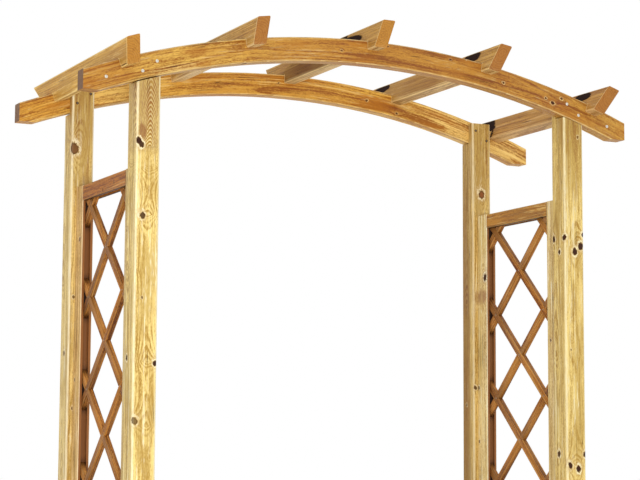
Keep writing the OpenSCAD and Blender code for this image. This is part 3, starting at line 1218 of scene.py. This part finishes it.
def run_tree(name, tree, values, base=None):
    """Runs a tree on a new object and returns the result as a plain mesh object."""
    carrier = added(name + "_carrier", base or bpy.data.meshes.new(name + "_base"))
    modifier = carrier.modifiers.new(tree.name, "NODES")
    modifier.node_group = tree
    for item in tree.interface.items_tree:
        if item.in_out == "INPUT" and item.name in values:
            modifier[item.identifier] = values[item.name]
    bpy.context.view_layer.update()
    graph = bpy.context.evaluated_depsgraph_get()
    mesh = bpy.data.meshes.new_from_object(
        carrier.evaluated_get(graph), preserve_all_data_layers=True, depsgraph=graph
    )
    bpy.data.objects.remove(carrier)
    mesh.name = name
    return added(name, mesh)


def turned(net, x_turn, z_turn=0.0):
    """A turn about the X and Z axes."""
    angles = net.point(x_turn, 0.0, z_turn)
    return net.node("FunctionNodeEulerToRotation", None, {0: angles})


def moved(net, geometry, **how):
    """Geometry in another place, turned or in another size."""
    sockets = {"Geometry": geometry}
    sockets.update({key.capitalize(): value for key, value in how.items()})
    return net.node("GeometryNodeTransform", None, sockets)


def copies(net, points, shape, turn):
    """A copy of a shape on each point."""
    sockets = {"Points": points, "Instance": shape, "Rotation": turn}
    return net.node("GeometryNodeInstanceOnPoints", None, sockets)


def real(net, geometry):
    """Copies made into one mesh."""
    return net.node("GeometryNodeRealizeInstances", None, {"Geometry": geometry})


def cut(net, geometry, cutters):
    """Geometry with the cutters taken away."""
    sockets = {"Mesh 1": geometry, "Mesh 2": cutters}
    return net.node("GeometryNodeMeshBoolean", {"operation": "DIFFERENCE"}, sockets)


def joined(net, *shapes):
    """Shapes in one piece of geometry."""
    return net.node("GeometryNodeJoinGeometry", None, {"Geometry": list(shapes)})


def covered(net, geometry, material):
    """Geometry in a material."""
    sockets = {"Geometry": geometry, "Material": material}
    return net.node("GeometryNodeSetMaterial", None, sockets)


def stored(net, geometry, name, kind, value):
    """Geometry that keeps a value in its mesh, for a material."""
    sockets = {"Geometry": geometry, "Name": name, "Value": value}
    return net.node("GeometryNodeStoreNamedAttribute", {"data_type": kind}, sockets)


# ---------------------------------------------------------------- lattices


NOTCHES_PER_SLAT = 3
EDGE_STEPS = 3
CUTTER_WIDTHS = 3.0  # length of a notch's cutter, in widths of a slat
SLAT_SEED = 210.0
SLAT_HEART = (18.0, -26.0)
OTHER_SIDE_SLATS = 20.0  # keeps the numbers of the two lattices' slats apart


def one_slat(net, use):
    """A slat along the Y axis with eased edges."""
    half = use["Length"] * 0.5
    line = net.node("GeometryNodeCurvePrimitiveLine", None, {
        "Start": net.point(0.0, 0.0 - half, 0.0), "End": net.point(0.0, half, 0.0)})
    outline = net.node("GeometryNodeCurvePrimitiveQuadrilateral", None, {
        "Width": use["Thickness"], "Height": use["Width"]})
    outline = net.node("GeometryNodeFilletCurve", {"mode": "POLY"}, {
        "Curve": outline, "Radius": use["Edge"], "Count": EDGE_STEPS})
    return net.node("GeometryNodeCurveToMesh", None, {
        "Curve": line, "Profile Curve": outline, "Fill Caps": True})


def slat_grain(net, use, slats, rise):
    """Slats that keep each point's place on the slat's own axes, and the slat's number."""
    place = net.vector("SUBTRACT", net.node("GeometryNodeInputPosition"), use["Middle"])
    x, y, z = net.parts(place)
    sine = use["Slope"].through("SINE") * rise
    cosine = use["Slope"].through("COSINE")
    along = y * cosine + z * sine
    across = z * cosine - y * sine
    spacing = use["Pitch"] * cosine
    number = (across / spacing).through("ROUND")
    grain = net.point(x, across - number * spacing, along)
    slats = stored(net, slats, "grain", "FLOAT_VECTOR", grain)
    number = number + 0.5 * rise + use["Facing"] * OTHER_SIDE_SLATS
    return stored(net, slats, "slat", "FLOAT", number)


def slat_tree():
    """Slats on the slant in two directions, halved into each other, cut to an opening."""
    net, use = new_tree("slat_grid", {
        "Width": "Float", "Thickness": "Float", "Edge": "Float", "Length": "Float",
        "Pitch": "Float", "Slope": "Float", "Gap": "Float", "Count": "Int",
        "Middle": "Vector", "Opening": "Vector", "Opening Middle": "Vector",
        "Facing": "Float", "Material": "Material",
    })
    slat = one_slat(net, use)
    slope = use["Slope"]
    step = use["Pitch"] / (slope.through("SINE") * 2.0)
    crossings = net.node("GeometryNodeMeshLine", None, {
        "Count": NOTCHES_PER_SLAT, "Start Location": net.point(0.0, 0.0 - step, 0.0),
        "Offset": net.point(0.0, step, 0.0)})
    cutter = net.node("GeometryNodeMeshCube", None, {
        "Size": net.point(
            use["Thickness"], use["Width"] * CUTTER_WIDTHS, use["Width"] + use["Gap"])})
    lift = net.point(0.0, 0.0, use["Pitch"])
    row = net.node("GeometryNodeMeshLine", None, {
        "Count": use["Count"] + 2, "Start Location": net.vector("SUBTRACT", use["Middle"], lift),
        "Offset": lift})
    opening = net.node("GeometryNodeMeshCube", None, {"Size": use["Opening"]})
    opening = moved(net, opening, translation=use["Opening Middle"])

    families = []
    for rise in (1.0, -1.0):
        side = use["Facing"] * rise * (use["Thickness"] - use["Gap"]) * 0.5
        notches = real(net, copies(net, crossings, cutter, turned(net, slope * (-2.0 * rise))))
        notches = moved(net, notches, translation=net.point(side, 0.0, 0.0))
        halved = cut(net, slat, notches)
        slats = real(net, copies(net, row, halved, turned(net, slope * rise)))
        slats = net.node("GeometryNodeMeshBoolean", {"operation": "INTERSECT"}, {
            "Mesh 2": [slats, opening]})
        families.append(slat_grain(net, use, slats, rise))
    grid = real(net, joined(net, *families))
    return end_tree(net, covered(net, grid, use["Material"]))


def crossing_row(node, pitch):
    """How many crossings stand above each other in a lattice, and the lowest one's height."""
    low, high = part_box(node)
    count = int((high.z - low.z) / pitch)
    return count, (low.z + high.z - (count - 1) * pitch) / 2


class ROSE_ARCH_OT_lattices(bpy.types.Operator):
    """Make the slats of both lattices, halved together where they cross"""

    bl_idname = "rose_arch.lattices"
    bl_label = "Lattices"

    def execute(self, context):
        look = context.scene.rose_arch.slats
        sizes = context.scene.rose_arch.slat_sizes
        half = (sizes.thickness * MM / 2, sizes.width * MM / 2, sizes.edge * MM)
        material = pine("lattice_pine", look, along_slats, half, SLAT_HEART, seed=SLAT_SEED)
        tree = slat_tree()
        for side, sign in SIDES.items():
            node = f"lattice_{side}"
            opening = size(node)
            count, first = crossing_row(node, sizes.pitch)
            piece = run_tree(f"slats_{side}", tree, {
                "Width": sizes.width, "Thickness": sizes.thickness, "Edge": sizes.edge,
                "Length": 2 * opening.y + 4 * sizes.width, "Pitch": sizes.pitch,
                "Slope": sizes.slope, "Gap": sizes.gap, "Count": count,
                "Middle": (middle(node).x, 0.0, first),
                "Opening": (opening.x * 2, opening.y, opening.z),
                "Opening Middle": tuple(middle(node)),
                "Facing": float(sign), "Material": material,
            })
            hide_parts(node)
            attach(piece, BODY)
        return {"FINISHED"}


# ---------------------------------------------------------------- fixings


SCREW_STEEL = (0.86, 0.83, 0.74)
SCREW_ROUGHNESS = 0.38
NAIL_STEEL = (0.42, 0.34, 0.24)
NAIL_ROUGHNESS = 0.5
DULLED = (0.72, 0.72, 0.72)
METAL_CLOUDS = (420.0, 3.0)        # fineness and detail
METAL_SHINE = 0.6
TORN_WOOD = (0.07, 0.03, 0.012)
SHADED_WOOD = (0.5, 0.5, 0.5)
WOOD_CLOUDS = (700.0, 2.0)
CROSS_SHARE = 0.28                 # width of the recess to the radius of a screw's head
CROSS_LENGTH = 1.05                # length of its arms, on a head of radius 1
CROSS_ARMS = ((0.0, 1.0), (math.pi / 2, 1.01))  # their turns and heights
SPIN_SEED = 4
ROUND = 20                         # sides of the round shapes
SMALL_ROUND = 12
LIP_ROUND = 8
LIP_SHARE = 0.16                   # sizes of a hole's parts to its radius
DISH_SHARE = 0.35
DISH_DEPTH_SHARE = 0.05
TIP_SHARE = 0.32
TIP_END_SHARE = 0.05
TIP_HEIGHT_SHARE = 0.5
POST_SCREWS = ((-0.022, 0.031), (0.020, 0.050))  # out from a post's middle, below the top
END_SCREW = 0.066
END_SCREW_DROP = 0.041


def metal(name, shade, rough):
    """Zinc-plated steel, dulled in patches."""
    net, shader, material, cloud = clouded(name, shaded(shade, DULLED), shade, *METAL_CLOUDS)
    net.join(cloud * 0.25 + rough, shader.inputs["Roughness"])
    shader.inputs["Metallic"].default_value = METAL_SHINE
    return material


def hollow(name, shade):
    """The torn, shaded wood inside a hole."""
    _, shader, material, _ = clouded(name, shaded(shade, SHADED_WOOD), shade, *WOOD_CLOUDS)
    shader.inputs["Roughness"].default_value = 0.9
    return material


def facing_out(net):
    """The turn of a copy, out of the wood at its point."""
    facing = net.node("GeometryNodeInputNamedAttribute", {"data_type": "FLOAT_VECTOR"}, {
        "Name": "facing"})
    return net.node("FunctionNodeAlignRotationToVector", {"axis": "Z"}, {"Vector": facing})


def fixing_tree():
    """Domed heads, one on each point, turned to face outwards. A recess more than nothing
    wide is cut into them as a cross."""
    net, use = new_tree("fixing_heads", {
        "Radius": "Float", "Dome": "Float", "Recess": "Float", "Material": "Material",
    }, geometry_in=True)
    ball = net.node("GeometryNodeMeshUVSphere", None, {
        "Segments": ROUND, "Rings": ROUND // 2, "Radius": 1.0})
    arm_size = net.point(CROSS_LENGTH, use["Recess"] / use["Radius"], 1.0)
    arm = net.node("GeometryNodeMeshCube", None, {"Size": arm_size})
    crossed = cut(net, ball, [
        moved(net, arm, translation=(0.0, 0.0, height), rotation=(0.0, 0.0, turn))
        for turn, height in CROSS_ARMS])
    head = net.node("GeometryNodeSwitch", {"input_type": "GEOMETRY"}, {
        "Switch": use["Recess"], "False": ball, "True": crossed})
    head = moved(net, head, scale=net.point(use["Radius"], use["Radius"], use["Dome"]))
    heads = copies(net, use["Geometry"], head, facing_out(net))
    spin = net.node("FunctionNodeRandomValue", {"data_type": "FLOAT"}, {
        "Min": 0.0, "Max": math.pi, "Seed": SPIN_SEED}, 1)
    heads = net.node("GeometryNodeRotateInstances", None, {
        "Instances": heads, "Rotation": turned(net, 0.0, spin), "Local Space": True})
    return end_tree(net, covered(net, real(net, heads), use["Material"]))


def hole_tree():
    """Shallow torn holes with a screw's point in each, one on each point."""
    net, use = new_tree("screw_points", {
        "Radius": "Float", "Hole": "Material", "Steel": "Material",
    }, geometry_in=True)
    radius = use["Radius"]
    lip = net.node("GeometryNodeCurvePrimitiveCircle", None, {
        "Resolution": ROUND, "Radius": radius})
    tube = net.node("GeometryNodeCurvePrimitiveCircle", None, {
        "Resolution": LIP_ROUND, "Radius": radius * LIP_SHARE})
    lip = net.node("GeometryNodeCurveToMesh", None, {"Curve": lip, "Profile Curve": tube})
    dish = net.node("GeometryNodeMeshCone", None, {
        "Vertices": ROUND, "Radius Top": radius * DISH_SHARE, "Radius Bottom": radius,
        "Depth": radius * DISH_DEPTH_SHARE})
    hole = covered(net, joined(net, lip, dish), use["Hole"])
    tip = net.node("GeometryNodeMeshCone", None, {
        "Vertices": SMALL_ROUND, "Radius Top": radius * TIP_END_SHARE,
        "Radius Bottom": radius * TIP_SHARE, "Depth": radius * TIP_HEIGHT_SHARE})
    tip = covered(net, tip, use["Steel"])
    both = joined(net, hole, tip)
    return end_tree(net, real(net, copies(net, use["Geometry"], both, facing_out(net))))


def marks(name, places):
    """A mesh of loose points that keep the way they face."""
    mesh = bpy.data.meshes.new(name)
    mesh.from_pydata([tuple(place) for place, _ in places], [], [])
    facing = mesh.attributes.new("facing", "FLOAT_VECTOR", "POINT")
    for item, (_, way) in zip(facing.data, places):
        item.vector = way
    return mesh


def post_screw_places(side):
    """Where the screws of one side's posts are: across the arch and up."""
    for offset, drop in POST_SCREWS:
        x = side * (POST_X + offset)
        yield x, beam_top(x) - drop


def screw_places(face):
    """The screws through a beam's face into the posts, and one near each of its ends."""
    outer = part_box("beam_front")[0].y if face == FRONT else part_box("beam_back")[1].y
    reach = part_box("beam_front")[1].x
    places = []
    for side in SIDES.values():
        places.extend((x, outer, z) for x, z in post_screw_places(side))
        x = side * (reach - END_SCREW)
        places.append((x, outer, beam_top(x) - END_SCREW_DROP))
    return [(place, (0.0, float(face), 0.0)) for place in places]


def point_places(face):
    """Where the points of those screws come out, on the inner faces of the posts."""
    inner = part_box("post_back_left")[0].y * face
    way = (0.0, -float(face), 0.0)
    return [((x, inner, z), way) for side in SIDES.values() for x, z in post_screw_places(side)]


class ROSE_ARCH_OT_screws(bpy.types.Operator):
    """Put in the screws that hold the beams, and the points that come through the posts"""

    bl_idname = "rose_arch.screws"
    bl_label = "Screws"

    def execute(self, context):
        sizes = context.scene.rose_arch.fixings
        steel = metal("screw_steel", SCREW_STEEL, SCREW_ROUGHNESS)
        places = screw_places(FRONT) + screw_places(BACK)
        screws = run_tree("beam_screws", fixing_tree(), {
            "Radius": sizes.screw, "Dome": sizes.screw_dome,
            "Recess": sizes.screw * CROSS_SHARE, "Material": steel,
        }, marks("beam_screw_marks", places))
        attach(screws, BODY)

        places = point_places(FRONT) + point_places(BACK)
        holes = run_tree("screw_holes", hole_tree(), {
            "Radius": sizes.hole, "Hole": hollow("torn_wood", TORN_WOOD), "Steel": steel,
        }, marks("screw_hole_marks", places))
        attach(holes, BODY)
        return {"FINISHED"}


def nail_places(node, slats):
    """The middles of a lattice's crossings, on both faces of its slats."""
    count, first = crossing_row(node, slats.pitch)
    aside = slats.pitch / (2 * math.tan(slats.slope))
    places = []
    for way in (-1, 1):
        x = middle(node).x + way * slats.thickness / 2
        spots = [(x, 0.0, first + k * slats.pitch) for k in range(count)]
        spots += [(x, y, first + (k + 0.5) * slats.pitch)
                  for k in range(count - 1) for y in (-aside, aside)]
        places.extend((spot, (float(way), 0.0, 0.0)) for spot in spots)
    return places


class ROSE_ARCH_OT_nails(bpy.types.Operator):
    """Nail the slats together where they cross"""

    bl_idname = "rose_arch.nails"
    bl_label = "Nails"

    def execute(self, context):
        sizes = context.scene.rose_arch.fixings
        slats = context.scene.rose_arch.slat_sizes
        steel = metal("nail_steel", NAIL_STEEL, NAIL_ROUGHNESS)
        tree = fixing_tree()
        for side in SIDES:
            places = nail_places(f"lattice_{side}", slats)
            nails = run_tree(f"lattice_nails_{side}", tree, {
                "Radius": sizes.nail, "Dome": sizes.nail_dome, "Recess": 0.0,
                "Material": steel,
            }, marks(f"lattice_nail_marks_{side}", places))
            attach(nails, BODY)
        return {"FINISHED"}


# ---------------------------------------------------------------- stage


CAMERA_PLACE = (-2.557, -5.0765, 0.988)
CAMERA_TURN = (26.560, 6.583, 0.296)  # yaw, pitch and roll in degrees
CAMERA_LENS = 105.75
SENSOR_WIDTH = 36.0
WHITE = (1.0, 1.0, 1.0)
MOTTLED = (0.97, 0.97, 0.97)
FLOOR_CLOUDS = (3.0, 3.0)
FLOOR_FADE = (1.3, 3.2)
KEY_PLACE = (-2.1, -4.8, 0.7)
KEY_AIM = Vector((0.0, 0.0, 1.6))
KEY_SIZE = 1.3
TOP_PLACE = (-2.0, -4.0, 5.0)
TOP_SPREAD = math.radians(50)


def place_camera():
    """A long lens to the left of the arch, looking up a little."""
    yaw, pitch, roll = (math.radians(angle) for angle in CAMERA_TURN)
    forward = Vector((
        math.sin(yaw) * math.cos(pitch), math.cos(yaw) * math.cos(pitch), math.sin(pitch)))
    level_right = Vector((math.cos(yaw), -math.sin(yaw), 0.0))
    level_up = level_right.cross(forward)
    right = level_right * math.cos(roll) + level_up * math.sin(roll)
    up = level_up * math.cos(roll) - level_right * math.sin(roll)
    data = bpy.data.cameras.new("camera")
    data.lens = CAMERA_LENS
    data.sensor_width = SENSOR_WIDTH
    camera = added("camera", data)
    turn = Matrix((right, up, -forward)).transposed().to_4x4()
    camera.matrix_world = Matrix.Translation(CAMERA_PLACE) @ turn
    bpy.context.scene.camera = camera


def place_floor(look):
    """A pale floor that takes the arch's shadow and fades to white further out."""
    reach = float(look.reach)
    mesh = bpy.data.meshes.new("floor")
    corners = [(-reach, -reach, 0), (reach, -reach, 0), (reach, reach, 0), (-reach, reach, 0)]
    mesh.from_pydata(corners, [], [(0, 1, 2, 3)])
    near = tuple(look.floor)
    net, shader, material, _ = clouded(
        "floor_paint", near, shaded(near, MOTTLED), *FLOOR_CLOUDS)
    shader.inputs["Roughness"].default_value = 0.8
    white = net.node("ShaderNodeEmission", None, {"Color": WHITE, "Strength": 1.0})
    far = net.step(net.vector("LENGTH", net.place()), *FLOOR_FADE)
    shown = net.node("ShaderNodeMixShader", None, {
        0: far, 1: Wire(net, shader.outputs[0]), 2: white})
    output = next(n for n in net.tree.nodes if n.type == "OUTPUT_MATERIAL")
    net.join(shown, output.inputs["Surface"])
    mesh.materials.append(material)
    added("floor", mesh)


def place_sky(look):
    """An even sky, which shows white."""
    world = bpy.data.worlds.new("studio")
    world.use_nodes = True
    bpy.context.scene.world = world
    net = Net(world.node_tree)
    net.tree.nodes.clear()
    path = net.node("ShaderNodeLightPath").socket.node
    seen = Wire(net, path.outputs["Is Camera Ray"])
    for ray in ("Is Glossy Ray", "Is Transmission Ray"):
        seen = seen.most(Wire(net, path.outputs[ray]))
    strength = seen * (1.0 - look.sky) + look.sky
    sky = net.node("ShaderNodeBackground", None, {"Color": WHITE, "Strength": strength})
    output = net.tree.nodes.new("ShaderNodeOutputWorld")
    net.join(sky, output.inputs["Surface"])


def place_lights(look):
    """A low soft light at the front left and a little light from above."""
    data = bpy.data.lights.new("key", "AREA")
    data.energy = look.key
    data.size = KEY_SIZE
    key = added("key", data)
    key.location = KEY_PLACE
    key.rotation_euler = (KEY_AIM - key.location).to_track_quat("-Z", "Y").to_euler()
    key.visible_camera = False
    key.visible_glossy = False
    data = bpy.data.lights.new("top", "SUN")
    data.energy = look.top
    data.angle = TOP_SPREAD
    top = added("top", data)
    top.location = TOP_PLACE
    top.rotation_euler = top.location.to_track_quat("Z", "Y").to_euler()


class ROSE_ARCH_OT_stage(bpy.types.Operator):
    """Set the camera, the floor and the light"""

    bl_idname = "rose_arch.stage"
    bl_label = "Stage"

    def execute(self, context):
        look = context.scene.rose_arch.stage
        place_camera()
        place_floor(look)
        place_sky(look)
        place_lights(look)
        context.scene.view_settings.view_transform = "Standard"
        return {"FINISHED"}


# ---------------------------------------------------------------- panel and registration


PIECES = (
    ROSE_ARCH_OT_posts,
    ROSE_ARCH_OT_beams,
    ROSE_ARCH_OT_rafters,
    ROSE_ARCH_OT_panel_frames,
    ROSE_ARCH_OT_lattices,
    ROSE_ARCH_OT_screws,
    ROSE_ARCH_OT_nails,
    ROSE_ARCH_OT_stage,
)


class ROSE_ARCH_PT_pieces(bpy.types.Panel):
    """Lists the pieces of the rose arch"""

    bl_label = "Rose arch"
    bl_idname = "ROSE_ARCH_PT_pieces"
    bl_space_type = "VIEW_3D"
    bl_region_type = "UI"
    bl_category = "Rose arch"

    def draw(self, context):
        for piece in PIECES:
            self.layout.operator(piece.bl_idname)


CLASSES = (
    PostLook, BeamLook, RafterLook, RailLook, StileLook, SlatLook, SlatSizes, FixingSizes,
    StageLook, ArchSettings, *PIECES, ROSE_ARCH_PT_pieces,
)


def register():
    for item in CLASSES:
        bpy.utils.register_class(item)
    bpy.types.Scene.rose_arch = PointerProperty(
        type=ArchSettings, name="Rose arch", description="Settings of the rose arch"
    )


def unregister():
    del bpy.types.Scene.rose_arch
    for item in reversed(CLASSES):
        bpy.utils.unregister_class(item)


def main():
    register()
    bpy.ops.rose_arch.stage()
    bpy.ops.rose_arch.posts()
    bpy.ops.rose_arch.beams()
    bpy.ops.rose_arch.rafters()
    bpy.ops.rose_arch.panel_frames()
    bpy.ops.rose_arch.lattices()
    bpy.ops.rose_arch.screws()
    bpy.ops.rose_arch.nails()


if __name__ == "__main__":
    main()
